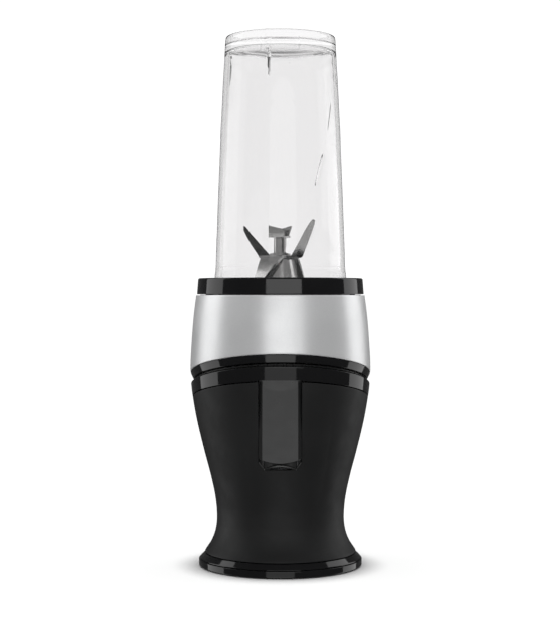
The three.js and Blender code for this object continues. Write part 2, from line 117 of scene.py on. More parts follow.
# Brightness of the surroundings: as seen, in polished surfaces, and in what stands inside the clear cup.
WORLD_LEVEL = 1.1
DIM_GLOSS = 0.08
CUP_LEVEL = 0.84
CUP_DEEP_LEVEL = 1.15
BELOW_FRONT = 0.12
BELOW_BACK = 0.9
SUN_POWER = 6.0
SUN_ANGLE = 11
# What the steel inside the cup reflects: [degrees round from the front toward the right, brightness], from
# straight ahead of it, from above it, and in a band above it to the left.
LEVEL_STRIPS = [
    (-180, 1.9), (-95, 1.9), (-86, 0.4), (22, 0.5), (30, 0.01), (76, 0.01), (86, 1.1), (180, 1.4),
]
RAISED_STRIPS = [
    (-180, 0.5), (-110, 0.4), (-20, 0.42), (0, 0.45), (4, 0.85), (16, 0.85), (22, 0.42), (62, 0.38),
    (67, 1.9), (79, 1.9), (84, 0.5), (96, 0.4), (104, 0.05), (165, 0.05), (180, 0.3),
]
LEFT_BAND = [(-180, 0.0), (-112, 0.0), (-100, 2.2), (-52, 2.2), (-42, 0.0), (180, 0.0)]
LEFT_BAND_HEIGHTS = [(0, 0.0), (0.45, 0.0), (0.49, 1.0), (0.54, 1.0), (0.60, 0.0), (1, 0.0)]
# Upward part of a direction, where one view of the surroundings turns into the next.
BELOW_TO_LEVEL = (-0.15, -0.05)
LEVEL_TO_RAISED = (0.07, 0.12)
# Soft lights in metres: name, azimuth (0 is behind the camera, 90 to the right), distance, width, low, high,
# strength.
SOFTBOXES = [
    ("light_front", 5.0, 1.6, 1.42, 0.15, 0.68, 1.6),
    ("light_front_middle", 0.3, 1.6, 1.12, -0.35, 0.15, 0.6),
    ("light_front_low", 0.3, 1.6, 1.12, -1.8, -0.35, 1.1),
    ("light_left", -103, 1.2, 0.79, -1.2, 1.5, 1.3),
    ("light_right", 114, 1.2, 0.75, -1.2, 1.5, 1.3),
]
FLOOR_REACH = 60.0


# ---- small geometry helpers ----
def outline(z):
    """Radius of the housing at a height or an array of heights."""
    z = np.asarray(z, float)
    heights, radii = OUTLINE[:, 0], OUTLINE[:, 1]
    before = np.maximum(np.arange(len(heights)) - 1, 0)
    after = np.minimum(np.arange(len(heights)) + 1, len(heights) - 1)
    slopes = (radii[after] - radii[before]) / (heights[after] - heights[before])
    i = np.clip(np.searchsorted(heights, z) - 1, 0, len(heights) - 2)
    span = heights[i + 1] - heights[i]
    t = (z - heights[i]) / span
    bow = t * (1 - t) * span * (slopes[i] * (1 - t) - slopes[i + 1] * t)
    return radii[i] + (radii[i + 1] - radii[i]) * t * t * (3 - 2 * t) + bow


def ease(t):
    """0 to 1, smoothly, as t goes from 0 to 1."""
    t = np.clip(t, 0, 1)
    return t * t * (3 - 2 * t)


def rounded(corners, fillet=0.4, steps=4):
    """Rounds the corners of a closed outline of [r, z] or [r, z, fillet]; those on the axis stay sharp."""
    out = []
    count = len(corners)
    for i, corner in enumerate(corners):
        here = Vector(corner[:2])
        to_before = Vector(corners[i - 1][:2]) - here
        to_after = Vector(corners[(i + 1) % count][:2]) - here
        size = corner[2] if len(corner) > 2 else fillet
        half = to_before.angle(to_after) / 2
        if abs(here.x) < 1e-6 or size == 0 or half > math.radians(84):
            out.append(tuple(here))
            continue
        reach = min(size / math.tan(half), 0.45 * to_before.length, 0.45 * to_after.length)
        start = here + to_before.normalized() * reach
        end = here + to_after.normalized() * reach
        for k in range(steps + 1):
            t = k / steps
            out.append(tuple(start * (1 - t) ** 2 + here * 2 * t * (1 - t) + end * t * t))
    return supported(out)


def supported(loop, near=0.2):
    """Adds a point close to each end of an outline's long straight runs, so that shading keeps them flat."""
    out = []
    for i, (r, z) in enumerate(loop):
        out.append((r, z))
        r2, z2 = loop[(i + 1) % len(loop)]
        length = math.hypot(r2 - r, z2 - z)
        if length > 5 * near and max(abs(r), abs(r2)) > 1e-6 and min(abs(r), abs(r2)) > 1e-6:
            for t in (near / length, 1 - near / length):
                out.append((r + (r2 - r) * t, z + (z2 - z) * t))
    return out


def link(name, points, faces):
    """A new smooth-shaded object from points in millimetres."""
    mesh = bpy.data.meshes.new(name)
    mesh.from_pydata((np.asarray(points, float) * MM).tolist(), [], faces)
    mesh.update()
    obj = bpy.data.objects.new(name, mesh)
    bpy.context.scene.collection.objects.link(obj)
    smooth(obj)
    return obj


def smooth(obj, degrees=32):
    mesh = obj.data
    mesh.polygons.foreach_set("use_smooth", [True] * len(mesh.polygons))
    mesh.set_sharp_from_angle(angle=math.radians(degrees))


def lathe(name, loop, columns=160, place=None):
    """Turns a closed outline of [r, z] about Z. place(r, angle, z) may move every point of a ring."""
    r, z = np.array(loop).T
    if np.sum(r * np.roll(z, -1) - np.roll(r, -1) * z) < 0:
        loop = loop[::-1]
    on_axis = min(abs(loop[0][0]), abs(loop[-1][0])) < 1e-6
    angles = np.arange(columns) * 2 * np.pi / columns
    rings = []
    poles = []
    for r, z in loop:
        if abs(r) < 1e-6:
            poles.append((0, 0, z))
            continue
        rr, zz = np.full(columns, float(r)), np.full(columns, float(z))
        if place:
            rr, zz = place(rr, angles, zz)
        rings.append(np.stack([rr * np.cos(angles), rr * np.sin(angles), zz], 1))
    count = len(rings)
    points = np.concatenate(rings)
    faces = []
    for i in range(count - 1 if on_axis else count):
        a, b = i * columns, ((i + 1) % count) * columns
        for k in range(columns):
            n = (k + 1) % columns
            faces.append((a + k, a + n, b + n, b + k))
    if on_axis:
        points = np.concatenate([points, poles])
        first, last = len(points) - 2, len(points) - 1
        top = (count - 1) * columns
        for k in range(columns):
            n = (k + 1) % columns
            faces.append((first, n, k))
            faces.append((last, top + k, top + n))
    return link(name, points, faces)


def loft(name, sections, close=True):
    """A skin over equal closed sections of points, with a flat cap at each end."""
    sections = np.asarray(sections, float)
    rows, columns = sections.shape[:2]
    faces = []
    for i in range(rows - 1):
        a, b = i * columns, (i + 1) * columns
        for k in range(columns):
            n = (k + 1) % columns
            faces.append((a + k, a + n, b + n, b + k))
    if close:
        faces.append(tuple(range(columns))[::-1])
        faces.append(tuple((rows - 1) * columns + k for k in range(columns)))
    obj = link(name, sections.reshape(-1, 3), faces)
    turn_outwards(obj)
    return obj


def turn_outwards(obj):
    edit = bmesh.new()
    edit.from_mesh(obj.data)
    bmesh.ops.recalc_face_normals(edit, faces=edit.faces)
    edit.to_mesh(obj.data)
    edit.free()
    smooth(obj)


def prism(name, points, low, high):
    """An upright prism of a closed outline of [x, y]."""
    sections = [[(x, y, z) for x, y in points] for z in (low, high)]
    return loft(name, sections)


def box(name, centre, size, bevel=0.0):
    """A block with softened edges."""
    x, y, z = (half / 2 for half in size)
    corners = [(-x, -y), (x, -y), (x, y), (-x, y)]
    obj = prism(name, corners, -z, z)
    if bevel:
        soften(obj, bevel)
    obj.data.transform(Matrix.Translation(Vector(centre) * MM))
    return obj


def apply_all(obj):
    """Applies an object's modifiers to its mesh."""
    graph = bpy.context.evaluated_depsgraph_get()
    mesh = bpy.data.meshes.new_from_object(obj.evaluated_get(graph))
    mesh.validate()
    old = obj.data
    obj.modifiers.clear()
    obj.data = mesh
    bpy.data.meshes.remove(old)
    smooth(obj)


def soften(obj, width, segments=2, angle=35):
    """Rounds an object's edges."""
    bevel = obj.modifiers.new("soften", "BEVEL")
    bevel.width = width * MM
    bevel.segments = segments
    bevel.limit_method = "ANGLE"
    bevel.angle_limit = math.radians(angle)
    apply_all(obj)
    return obj


def combine(obj, others, operation):
    """Joins others to an object, or cuts them out of it, and removes them."""
    for other in others:
        step = obj.modifiers.new(operation.lower(), "BOOLEAN")
        step.operation = operation
        step.solver = "EXACT"
        step.object = other
        apply_all(obj)
        mesh = other.data
        bpy.data.objects.remove(other)
        bpy.data.meshes.remove(mesh)
    return obj


def join(obj, *others):
    return combine(obj, others, "UNION")


def cut(obj, *others):
    return combine(obj, others, "DIFFERENCE")


def moved(obj, x=0, y=0, z=0, turn=0, tilt=0):
    """Tilts about Y, shifts, then turns about Z, in millimetres and degrees."""
    move = Matrix.Rotation(math.radians(turn), 4, "Z") @ Matrix.Translation(Vector((x, y, z)) * MM)
    obj.data.transform(move @ Matrix.Rotation(math.radians(tilt), 4, "Y"))
    return obj


def leaned(share=lambda z: np.ones_like(z)):
    """Leans a ring or shell to follow the sloping split, keeping its wall on the housing's outline."""
    def place(r, angle, z):
        level = z - r * np.sin(angle) * SPLIT_SLOPE * share(z)
        return r + outline(level) - outline(z), level
    return place


# ---- materials ----
RANGE_SOCKETS = ("From Min", "From Max", "To Min", "To Max")


class Finish:
    """A Principled material with procedural detail laid on it, in the object's own coordinates."""

    def __init__(self, name, colour, roughness, metallic=0.0, **sockets):
        self.material = bpy.data.materials.new(name)
        self.material.use_nodes = True
        self.tree = self.material.node_tree
        self.shader = self.tree.nodes["Principled BSDF"]
        self.shader.inputs["Base Color"].default_value = (*colour, 1)
        self.shader.inputs["Roughness"].default_value = roughness
        self.shader.inputs["Metallic"].default_value = metallic
        for socket, value in sockets.items():
            self.shader.inputs[socket.replace("_", " ")].default_value = value
        self.coordinates = self.tree.nodes.new("ShaderNodeTexCoord").outputs["Object"]
        self.material.diffuse_color = (*colour, 1)

    def node(self, kind, **values):
        made = self.tree.nodes.new(kind)
        for key, value in values.items():
            setattr(made, key, value)
        return made

    def connect(self, source, target):
        self.tree.links.new(source, target)

    def stretched(self, stretch):
        mapping = self.node("ShaderNodeMapping")
        mapping.inputs["Scale"].default_value = stretch
        self.connect(self.coordinates, mapping.inputs["Vector"])
        return mapping.outputs["Vector"]

    def noise(self, size, detail=2.0, stretch=(1, 1, 1), roughness=0.5):
        """Noise whose features are about size millimetres across."""
        made = self.node("ShaderNodeTexNoise")
        made.inputs["Scale"].default_value = 1 / (size * MM)
        made.inputs["Detail"].default_value = detail
        made.inputs["Roughness"].default_value = roughness
        self.connect(self.stretched(stretch), made.inputs["Vector"])
        return made.outputs["Fac"]

    def bands(self, pitch, direction="Z", profile="SIN"):
        made = self.node("ShaderNodeTexWave", bands_direction=direction, wave_profile=profile)
        made.inputs["Scale"].default_value = 2 * math.pi / (20 * pitch * MM)
        made.inputs["Distortion"].default_value = 0
        self.connect(self.coordinates, made.inputs["Vector"])
        return made.outputs["Fac"]

    def cells(self, size):
        made = self.node("ShaderNodeTexVoronoi")
        made.inputs["Scale"].default_value = 1 / (size * MM)
        self.connect(self.coordinates, made.inputs["Vector"])
        return made.outputs["Color"]

    def spread(self, source, low, high, from_low=0.3, from_high=0.7):
        made = self.node("ShaderNodeMapRange")
        for socket, value in zip(RANGE_SOCKETS, (from_low, from_high, low, high)):
            made.inputs[socket].default_value = value
        self.connect(source, made.inputs["Value"])
        return made.outputs["Result"]

    def vary(self, socket, source, low, high, from_low=0.3, from_high=0.7):
        self.connect(self.spread(source, low, high, from_low, from_high), self.shader.inputs[socket])

    def tint(self, source, colours, from_low=0.3, from_high=0.7):
        """Colours the surface between two colours by a source."""
        mix = self.node("ShaderNodeMix", data_type="RGBA")
        self.connect(self.spread(source, 0, 1, from_low, from_high), mix.inputs["Factor"])
        for socket, colour in zip((mix.inputs[6], mix.inputs[7]), colours):
            socket.default_value = (*colour, 1)
        self.connect(mix.outputs[2], self.shader.inputs["Base Color"])

    def relief(self, *layers):
        """Bumps: each layer is a source and its depth in millimetres."""
        normal = None
        for source, depth in layers:
            bump = self.node("ShaderNodeBump")
            bump.inputs["Strength"].default_value = 1
            bump.inputs["Distance"].default_value = depth * MM
            self.connect(source, bump.inputs["Height"])
            if normal:
                self.connect(normal, bump.inputs["Normal"])
            normal = bump.outputs["Normal"]
        self.connect(normal, self.shader.inputs["Normal"])


def matte_black():
    """Moulded housing with a fine spark-eroded grain."""
    made = Finish("matte_black", (0.0065, 0.0068, 0.0070), 0.58, Specular_IOR_Level=0.4)
    cloud = made.noise(40, 3)
    made.tint(cloud, [(0.0058, 0.0061, 0.0063), (0.0078, 0.0081, 0.0084)])
    made.vary("Roughness", made.noise(12, 3), 0.54, 0.62)
    made.relief((made.noise(0.35, 2), 0.012), (made.noise(0.12, 1), 0.006))
    return made.material


def panel_black():
    """The front panel: the housing's plastic with a slightly closer, silkier grain."""
    made = Finish("panel_black", (0.007, 0.0072, 0.0074), 0.30, Specular_IOR_Level=0.75)
    made.tint(made.noise(9, 3), [(0.0062, 0.0064, 0.0066), (0.0078, 0.008, 0.0082)])
    made.vary("Roughness", made.noise(6, 3), 0.27, 0.33)
    made.relief((made.noise(0.28, 2), 0.010), (made.noise(0.1, 1), 0.004))
    return made.material


def gloss_black():
    """Polished black plastic, with a trace of handling marks and moulding waviness."""
    made = Finish("gloss_black", (0.0035, 0.0035, 0.0038), 0.06)
    made.tint(made.noise(20, 2), [(0.003, 0.003, 0.0033), (0.0042, 0.0042, 0.0045)])
    smears = made.noise(7, 4, (1, 1, 2.2), 0.62)
    made.vary("Roughness", smears, 0.035, 0.11, 0.35, 0.75)
    made.relief((made.noise(9, 1), 0.004), (made.noise(0.6, 2), 0.0006))
    return made.material


def silver_paint():
    """Satin silver paint: fine metallic flakes under a soft lacquer."""
    made = Finish("silver_paint", (0.66, 0.665, 0.67), 0.33, 0.65)
    flakes = made.cells(0.16)
    split = made.node("ShaderNodeSeparateColor")
    made.connect(flakes, split.inputs["Color"])
    made.tint(split.outputs[0], [(0.62, 0.625, 0.63), (0.70, 0.705, 0.71)], 0, 1)
    made.vary("Roughness", made.noise(14, 3), 0.30, 0.37)
    made.relief((split.outputs[1], 0.0035), (made.noise(1.6, 2), 0.0015))
    return made.material


def clear_plastic():
    """Clear copolyester with faint flow waviness and fine scuffs."""
    made = Finish("clear_plastic", (0.882, 0.878, 0.880), 0.0, Transmission_Weight=1.0, IOR=1.3)
    made.vary("Roughness", made.noise(5, 4, (1, 1, 0.4), 0.65), 0.0, 0.02, 0.45, 0.8)
    made.relief((made.noise(26, 1, (1, 1, 0.35)), 0.012))
    return made.material


def blade_steel():
    """Stamped stainless, brushed along its length."""
    made = Finish("blade_steel", (0.40, 0.40, 0.395), 0.2, 1.0)
    strokes = made.noise(0.35, 3, (1, 1, 0.05), 0.6)
    made.tint(made.noise(5, 3), [(0.38, 0.38, 0.375), (0.46, 0.46, 0.455)])
    made.vary("Roughness", strokes, 0.11, 0.24)
    made.relief((strokes, 0.002), (made.noise(1.4, 2), 0.001))
    return made.material


def turned_steel():
    """Turned stainless with fine rings round its axis."""
    made = Finish("turned_steel", (0.40, 0.397, 0.393), 0.2, 1.0)
    rings = made.noise(0.22, 3, (0.02, 0.02, 1), 0.6)
    made.tint(made.noise(7, 3), [(0.36, 0.357, 0.353), (0.44, 0.437, 0.433)])
    made.vary("Roughness", rings, 0.07, 0.14)
    made.relief((rings, 0.0012))
    return made.material


def zinc_steel():
    """Zinc-plated hardware, slightly clouded."""
    made = Finish("zinc_steel", (0.50, 0.51, 0.53), 0.35, 1.0)
    made.tint(made.noise(1.8, 4), [(0.42, 0.43, 0.46), (0.56, 0.57, 0.58)])
    made.vary("Roughness", made.noise(0.9, 3), 0.28, 0.45)
    made.relief((made.noise(0.3, 2), 0.004))
    return made.material


def laminations():
    """Stacked electrical steel with the edges of the sheets showing."""
    made = Finish("laminations", (0.30, 0.31, 0.33), 0.45, 0.9)
    sheets = made.bands(0.5)
    made.tint(made.noise(3, 4), [(0.22, 0.23, 0.25), (0.36, 0.37, 0.38)])
    made.vary("Roughness", sheets, 0.34, 0.58, 0, 1)
    made.relief((sheets, 0.05), (made.noise(0.4, 2), 0.01))
    return made.material


def copper_wire():
    """Enamelled copper turns lying side by side."""
    made = Finish("copper_wire", (0.58, 0.25, 0.11), 0.3, 0.9)
    turns = made.bands(0.6)
    made.tint(made.noise(1.5, 4), [(0.46, 0.17, 0.07), (0.66, 0.30, 0.14)])
    made.vary("Roughness", made.noise(1.1, 3), 0.22, 0.4)
    made.relief((turns, 0.22), (made.noise(1.0, 2), 0.05))
    return made.material


def bronze():
    """Porous sintered bronze."""
    made = Finish("bronze", (0.55, 0.38, 0.17), 0.42, 0.9)
    made.tint(made.noise(0.8, 4), [(0.45, 0.30, 0.13), (0.62, 0.45, 0.22)])
    made.vary("Roughness", made.noise(0.5, 3), 0.33, 0.55)
    made.relief((made.noise(0.16, 2), 0.012))
    return made.material


def black_rubber():
    """Moulded rubber with a dusty bloom."""
    made = Finish("black_rubber", (0.020, 0.020, 0.021), 0.75)
    made.tint(made.noise(3, 4), [(0.015, 0.015, 0.016), (0.032, 0.032, 0.033)])
    made.vary("Roughness", made.noise(1.6, 3), 0.66, 0.86)
    made.relief((made.noise(0.25, 2), 0.02))
    return made.material


def silicone():
    """Translucent grey silicone."""
    made = Finish("silicone", (0.52, 0.54, 0.55), 0.5, Subsurface_Weight=0.3, Subsurface_Scale=0.002)
    made.tint(made.noise(4, 3), [(0.48, 0.50, 0.51), (0.57, 0.585, 0.59)])
    made.vary("Roughness", made.noise(1.4, 3), 0.42, 0.6)
    made.relief((made.noise(0.5, 2), 0.008))
    return made.material


def black_nylon(name="black_nylon", level=1.0):
    """Glass-filled nylon, with short fibres just under the skin; a level below 1 darkens it as painted shade.
    """
    made = Finish(name, (0.028 * level, 0.029 * level, 0.031 * level), 0.46)
    fibres = made.noise(0.5, 3, (1, 1, 0.25), 0.7)
    shades = (0.023, 0.024, 0.026), (0.038, 0.039, 0.041)
    made.tint(fibres, [[c * level for c in shade] for shade in shades])
    made.vary("Roughness", made.noise(2.5, 3), 0.38, 0.56)
    made.relief((fibres, 0.008))
    return made.material


def carbon():
    """Pressed carbon, grainy and slightly shiny."""
    made = Finish("carbon", (0.03, 0.03, 0.031), 0.5, 0.2)
    made.tint(made.noise(0.4, 4), [(0.018, 0.018, 0.019), (0.06, 0.06, 0.062)])
    made.vary("Roughness", made.noise(0.3, 3), 0.35, 0.7)
    made.relief((made.noise(0.2, 2), 0.015))
    return made.material


MATERIALS = {
    "matte_housing": matte_black(),
    "gloss_black": gloss_black(),
    "silver_paint": silver_paint(),
    "clear_cup": clear_plastic(),
    "blade_steel": blade_steel(),
    "hub_steel": turned_steel(),
    "motor_iron": laminations(),
    "copper_wire": copper_wire(),
    "bronze": bronze(),
    "black_rubber": black_rubber(),
    "silicone": silicone(),
    "black_nylon": black_nylon(),
    "carbon": carbon(),
}
ZINC = zinc_steel()
PANEL = panel_black()
# The same nylon darkened to a fifth for the vent ring: painted shade for the deep groove it sits in.
VENT_NYLON_PAINTED_SHADE = black_nylon("vent_nylon_painted_shade", 0.2)


def stand_for(obj, node, material=None):
    """Makes a piece stand for a CAD node: its body, its record slot and its material."""
    obj.data.materials.clear()
    obj.data.materials.append(material or MATERIALS[SLOT_OF[node]])
    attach(obj, BODY_OF[node])
    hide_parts(node)
    return obj


# ---- the casing ----
def housing_shell():
    heights = np.linspace(HOUSING_BOTTOM, HOUSING_TOP, 64)
    outside = [(float(outline(z)), z) for z in heights]
    inside = [(float(outline(z)) - WALL, z) for z in heights[::4]][::-1]

    def share(z):
        return (z - HOUSING_BOTTOM) / (HOUSING_TOP - HOUSING_BOTTOM)
    shell = lathe("fine_lower_housing", rounded(outside + inside, 0.5), 216, leaned(share))
    depth = 24
    top = PANEL_HIGH + 3
    half = PANEL_HALF + 0.25
    window = [(-half, top), (-half, 68.2), (-9.6, 63.9), (9.6, 63.9), (half, 68.2), (half, top)]
    cutter = prism("window", window, -depth / 2, depth / 2)
    cutter.data.transform(Matrix.Translation((0, -50 * MM, 0)) @ Matrix.Rotation(math.pi / 2, 4, "X"))
    cord_hole = lathe("cord_hole", [(0, -8), (4.4, -8), (4.4, 8), (0, 8)], 40)
    cord_hole.data.transform(Matrix.Translation((0, 40 * MM, 28 * MM)) @ Matrix.Rotation(math.pi / 2, 4, "X"))
    cut(shell, cutter, cord_hole)
    stand_for(shell, "lower_housing")


def housing_y(x, z):
    """How far forward the housing's surface lies at x, z on its front."""
    return -math.sqrt(float(outline(z)) ** 2 - x * x)


def front_panel():
    """A straight-faced tongue: sunk under the shoulder ring, proud where the housing draws in."""
    face_half = 10.5
    face_front = -53.25
    face_lean = 0.0985
    face_middle = 111
    scoop_low = 111.4
    bevel_depth = 1.25
    arch = 9.3
    heights = np.concatenate([np.linspace(PANEL_HIGH, 108, 26), np.linspace(107, 71.5, 20)])
    edge_columns = np.linspace(face_half - 0.6, PANEL_HALF, 16)
    right = np.concatenate([np.linspace(0, face_half - 1.2, 9), edge_columns])
    sections = []
    for x in np.concatenate([-right[:0:-1], right]):
        a = abs(x)
        face_low = 68.3 + 2.2 * (a / 11) ** 2
        lip = 66.3 - 2.2 * (a / arch) ** 2 if a < arch else 64.1 + (a - arch) * 1.3
        row = []
        for z in np.concatenate([heights, np.linspace(71, face_low, 8)]):
            straight = face_front + (face_middle - z) * face_lean
            above = max(z - scoop_low - 2.6 * (a / 10) ** 2, 0)
            face = straight - 0.15 * above ** 2 / (1 + above)
            half = face_half + (PANEL_HIGH - z) * 0.004
            slant = min(max((a - half) / (PANEL_HALF - half), 0), 1) * (1 - float(ease((z - 116) / 2)))
            row.append((x, face + bevel_depth * slant, z))
        front = row[-1][1]
        wall = min(housing_y(x, lip) - 0.7, -44.6)
        if a > arch:
            wall = max(front, wall + 0.9)
        row += [(x, front + 0.35, face_low - 0.3), (x, front + (wall + 0.5 - front) * 0.8, face_low - 0.6)]
        for behind, over in ((0.5, 0.95), (0.12, 0.75), (0, 0.5), (0, -0.2), (0.2, -0.45), (1.2, -0.55)):
            row.append((x, wall + behind, lip + over))
        back = max(housing_y(PANEL_HALF, lip) + 3.4, wall + 2.5)
        row += [(x, back, lip - 0.3), (x, -49.6, PANEL_HIGH)]
        sections.append(row)
    stand_for(loft("fine_front_panel", sections), "front_panel", PANEL)


def split_rings():
    r = float(outline(SPLIT_Z))
    deep = r - 5
    seat = r - WALL - 0.4

    def flush(radius, z, fillet=0.4):
        """A corner moved with the housing's outline, given for a ring of radius r."""
        return radius + float(outline(z)) - r, z, fillet
    shoulder = [
        flush(r, VENT_LOW, 0.35), flush(r, VENT_LOW - 4, 0), flush(r, SHOULDER_LOW, 0.3),
        flush(seat, SHOULDER_LOW), flush(seat, SHOULDER_LOW - 3.4),
        flush(deep, SHOULDER_LOW - 3.4), flush(deep, VENT_LOW),
    ]
    ring = lathe("fine_shoulder_ring", rounded(shoulder), 216, leaned())
    seat_cut = box("panel_seat", (0, -49, PANEL_HIGH - 8.1), (2 * PANEL_HALF + 0.5, 22, 16))
    cut(ring, seat_cut)
    stand_for(ring, "shoulder_ring")

    trim = [
        (r - 0.1, SPLIT_Z - 0.25, 0.3), (r - 2.1, TRIM_LOW, 0.5), (deep, TRIM_LOW), (deep, SPLIT_Z + 3.4),
        (seat, SPLIT_Z + 3.4), (seat, SPLIT_Z - 0.25),
    ]
    stand_for(lathe("fine_collar_trim_ring", rounded(trim), 216, leaned()), "collar_trim_ring")

    middle = (VENT_LOW + TRIM_LOW) / 2
    back, front = r - 3.9, r - 2.6
    grille = [
        (deep, VENT_LOW + 0.3), (back, VENT_LOW + 0.3), (back, middle - 0.25), (front, middle - 0.25, 0.2),
        (front, middle + 0.25, 0.2), (back, middle + 0.25), (back, TRIM_LOW - 0.3), (deep, TRIM_LOW - 0.3),
    ]
    ribs = 60

    def ribbed(radius, angle, z):
        phase = np.abs((angle * ribs / (2 * np.pi)) % 1 - 0.5)
        outside = radius > deep + 0.5
        return leaned()(radius + np.where(outside & (phase < 0.16), 0.5, 0), angle, z)
    # The vent ring takes the darkened nylon, which is painted shade for the groove.
    stand_for(lathe("fine_vent_ring", rounded(grille, 0.1, 2), ribs * 10, ribbed), "vent_ring", VENT_NYLON_PAINTED_SHADE)


def silver_collar():
    heights = np.linspace(SPLIT_Z, COLLAR_TOP, 30)
    outside = [(float(outline(z)), z) for z in heights]
    outside[0] = (*outside[0][:2], 0.9)
    outside[-1] = (*outside[-1][:2], 0.7)
    inside = [(float(outline(z)) - 2, z) for z in heights[::4]][::-1]

    def share(z):
        return (COLLAR_TOP - z) / (COLLAR_TOP - SPLIT_Z)
    collar = lathe("fine_silver_collar", rounded(outside + inside, 0.3, 6), 216, leaned(share))
    stand_for(collar, "silver_collar")


def key_blocks(outer, width, low, high, bevel=0.0):
    """Blocks that stand out from the blade unit, or cut its grooves."""
    inner = 45
    centre = (inner + outer) / 2, 0, (low + high) / 2
    size = outer - inner, width, high - low
    made = []
    for angle in KEY_ANGLES:
        made.append(moved(box("key", centre, size, bevel), turn=angle))
    return made


def top_rim():
    low = COLLAR_TOP + 0.3
    profile = [
        (47.6, low, 0.3), (51.9, low, 0.35), (51.15, RIM_TOP, 1.5), (48.8, RIM_TOP, 0.6),
        (47.6, RIM_TOP - 1.4, 0.5),
    ]
    rim = lathe("fine_top_rim", rounded(profile, 0.4, 6), 216)
    stand_for(cut(rim, *key_blocks(KEY_R + 0.6, KEY_WIDTH + 1.6, 150, 190)), "top_rim")


# ---- the foot ----
def foot():
    step = [(44, 4.9), (50.3, 4.9, 0.35), (47.0, 8.3, 0.35), (44, 8.3)]
    stand_for(lathe("fine_foot_trim_ring", rounded(step), 216), "foot_trim_ring")

    cover = [(0, 0.5), (50.2, 0.5, 0.4), (50.7, 1.0, 0.5), (50.7, 4.65, 0.5), (44, 4.65), (44, 3), (0, 3)]
    plate = lathe("fine_bottom_cover", rounded(cover), 216)
    cutters = []
    for angle in (0, 90, 180, 270):
        pocket = lathe("pocket", [(0, 0), (7, 0), (7, 2), (0, 2)], 48)
        cutters.append(moved(pocket, 38.5, turn=angle))
    for angle in KEY_ANGLES:
        bore = rounded([(0, -1), (3.2, -1), (3.2, 2.2), (1.7, 2.2), (1.7, 5), (0, 5)], 0)
        cutters.append(moved(lathe("bore", bore, 32), 36, turn=angle))
    for k in range(6):
        slot = box("slot", (20, 0, 2), (14, 2.6, 6))
        cutters.append(moved(soften(slot, 1.25, 4), turn=k * 60))
    cut(plate, *cutters)
    stand_for(plate, "bottom_cover")

    for i, angle in enumerate((0, 90, 180, 270)):
        pad = [(0, 0), (5.6, 0, 0.4), (6.6, 0.7, 0.4), (6.6, 1.7), (0, 1.7)]
        rubber = lathe(f"fine_rubber_foot_{i + 1}", rounded(pad), 48)
        stand_for(moved(rubber, 38.5, turn=angle), f"rubber_foot_{i + 1}")

    for i, angle in enumerate(KEY_ANGLES):
        profile = [(0, 1), (2.4, 1, 0.3), (2.8, 1.4, 0.2), (2.8, 1.9), (1.2, 1.9), (1.2, 14), (0, 15)]
        screw = lathe(f"fine_base_screw_{i + 1}", rounded(profile, 0.1), 32)
        cross = [box("cross", (0, 0, 1), (3.0, 0.7, 1.4)), box("cross", (0, 0, 1), (0.7, 3.0, 1.4))]
        cut(screw, *cross)
        stand_for(moved(screw, 36, turn=angle), f"base_screw_{i + 1}", ZINC)

    ridged = [
        (3, 36.4), (4.15, 36.4), (4.15, 40.9), (5.5, 40.9, 0.3), (5.2, 41.7, 0.2), (4.7, 42.6, 0.3), (3, 42.6),
    ]
    gland = lathe("fine_cord_gland", rounded(ridged, 0.2), 64)
    gland.data.transform(Matrix.Translation((0, 0, 28 * MM)) @ Matrix.Rotation(-math.pi / 2, 4, "X"))
    stand_for(gland, "cord_gland")


# ---- the well and what shows in it ----
def well():
    floor_low = WELL_FLOOR - 2.2
    profile = [
        (6, RECESS_FLOOR - 2), (RECESS_R + 2, RECESS_FLOOR - 2), (RECESS_R + 2, floor_low, 1),
        (WELL_R + 2, floor_low), (WELL_R + 2, COLLAR_TOP), (WELL_R, COLLAR_TOP), (WELL_R, WELL_FLOOR, 2.0),
        (RECESS_R, WELL_FLOOR, 1.0), (RECESS_R, RECESS_FLOOR, 1.5), (6, RECESS_FLOOR),
    ]
    body = lathe("fine_drive_well", rounded(profile, 0.3, 5), 192)
    holes = []
    for angle in PLUNGER_ANGLES:
        hole = lathe("hole", [(0, 130), (3.35, 130), (3.35, 145), (0, 145)], 40)
        holes.append(moved(hole, PLUNGER_CIRCLE, turn=angle))
    cut(body, *holes, *key_blocks(KEY_R + 0.6, KEY_WIDTH + 1.6, 153, 190))
    stand_for(body, "drive_well")

    seal_low = RECESS_FLOOR + 0.3
    seal = [(4.35, seal_low), (9, seal_low), (9, 128.6, 0.3), (6.4, 129.2, 0.4), (4.35, 128.6, 0.2)]
    stand_for(lathe("fine_well_seal", rounded(seal, 0.2), 64), "well_seal")

    pin_top = UNIT_LOW - 0.3
    pin = [
        (0, 114.5), (1.7, 114.5, 0.4), (1.7, FLANGE_LOW), (4.6, FLANGE_LOW),
        (4.6, FLANGE_LOW + 2.4), (3, FLANGE_LOW + 2.4), (3, pin_top, 1.3), (0, pin_top),
    ]
    for i, angle in enumerate(PLUNGER_ANGLES):
        plunger = lathe(f"fine_interlock_plunger_{i + 1}", rounded(pin, 0.2, 6), 48)
        stand_for(moved(plunger, PLUNGER_CIRCLE, turn=angle), f"interlock_plunger_{i + 1}")


def interlock_springs():
    """Coils under the plungers' flanges, made at their free length; on the blender they flatten as the cup is
    pressed down.
    """
    coil = 3.35
    wire = 0.42
    turns = 4.5
    rise = FLANGE_LOW - 0.35 - wire - SPRING_LOW
    for i, heading in enumerate(PLUNGER_ANGLES):
        sections = []
        for t in np.linspace(0, 1, 181):
            angle = t * turns * 2 * math.pi
            ring = []
            for b in np.arange(12) * math.pi / 6:
                r = coil + wire * math.cos(b)
                z = SPRING_LOW + rise * t + wire * math.sin(b)
                ring.append((r * math.cos(angle), r * math.sin(angle), z))
            sections.append(ring)
        spring = moved(loft(f"fine_interlock_spring_{i + 1}", sections), PLUNGER_CIRCLE, turn=heading)
        stand_for(spring, f"interlock_spring_{i + 1}", ZINC)
        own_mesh(spring)


